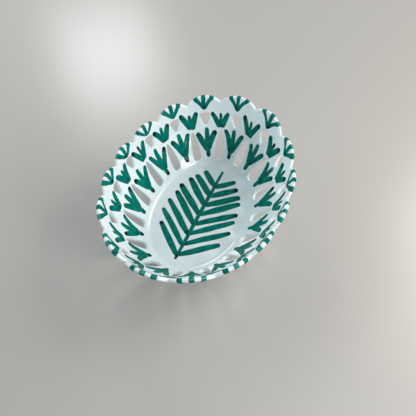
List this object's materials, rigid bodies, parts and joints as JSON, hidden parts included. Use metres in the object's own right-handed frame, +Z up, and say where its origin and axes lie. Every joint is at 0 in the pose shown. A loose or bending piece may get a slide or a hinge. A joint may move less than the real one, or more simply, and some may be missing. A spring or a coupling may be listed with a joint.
{
  "type": "bread bowl",
  "caption": "Oval glazed earthenware bread bowl with a flared, pierced wall, a scalloped rim and leaf strokes of green glaze on white, standing on a foot ring.",
  "frame": {"origin": "centre of the foot ring's standing plane, under the middle of the bowl", "axes": "+X along the bowl, +Y across it, +Z up"},
  "size_m": [0.2548, 0.2028, 0.0864],
  "materials": {
    "white_glaze": "glossy white glaze over earthenware",
    "green_glaze": "glossy green glaze, laid on in strokes"
  },
  "bodies": {
    "root": {"bowl_body": "white_glaze", "floor_branch": "green_glaze", "lobe_sprig_01": "green_glaze", "lobe_sprig_02": "green_glaze", "lobe_sprig_03": "green_glaze", "lobe_sprig_04": "green_glaze", "lobe_sprig_05": "green_glaze", "lobe_sprig_06": "green_glaze", "lobe_sprig_07": "green_glaze", "lobe_sprig_08": "green_glaze", "lobe_sprig_09": "green_glaze", "lobe_sprig_10": "green_glaze", "lobe_sprig_11": "green_glaze", "lobe_sprig_12": "green_glaze", "lobe_sprig_13": "green_glaze", "lobe_sprig_14": "green_glaze", "lobe_sprig_15": "green_glaze", "lobe_sprig_16": "green_glaze", "lip_crown_01": "green_glaze", "lip_crown_02": "green_glaze", "lip_crown_03": "green_glaze", "lip_crown_04": "green_glaze", "lip_crown_05": "green_glaze", "lip_crown_06": "green_glaze", "lip_crown_07": "green_glaze", "lip_crown_08": "green_glaze", "lip_crown_09": "green_glaze", "lip_crown_10": "green_glaze", "lip_crown_11": "green_glaze", "lip_crown_12": "green_glaze", "lip_crown_13": "green_glaze", "lip_crown_14": "green_glaze", "lip_crown_15": "green_glaze", "lip_crown_16": "green_glaze", "notch_bud_01": "green_glaze", "notch_bud_02": "green_glaze", "notch_bud_03": "green_glaze", "notch_bud_04": "green_glaze", "notch_bud_05": "green_glaze", "notch_bud_06": "green_glaze", "notch_bud_07": "green_glaze", "notch_bud_08": "green_glaze", "notch_bud_09": "green_glaze", "notch_bud_10": "green_glaze", "notch_bud_11": "green_glaze", "notch_bud_12": "green_glaze", "notch_bud_13": "green_glaze", "notch_bud_14": "green_glaze", "notch_bud_15": "green_glaze", "notch_bud_16": "green_glaze"}
  },
  "joints": []
}
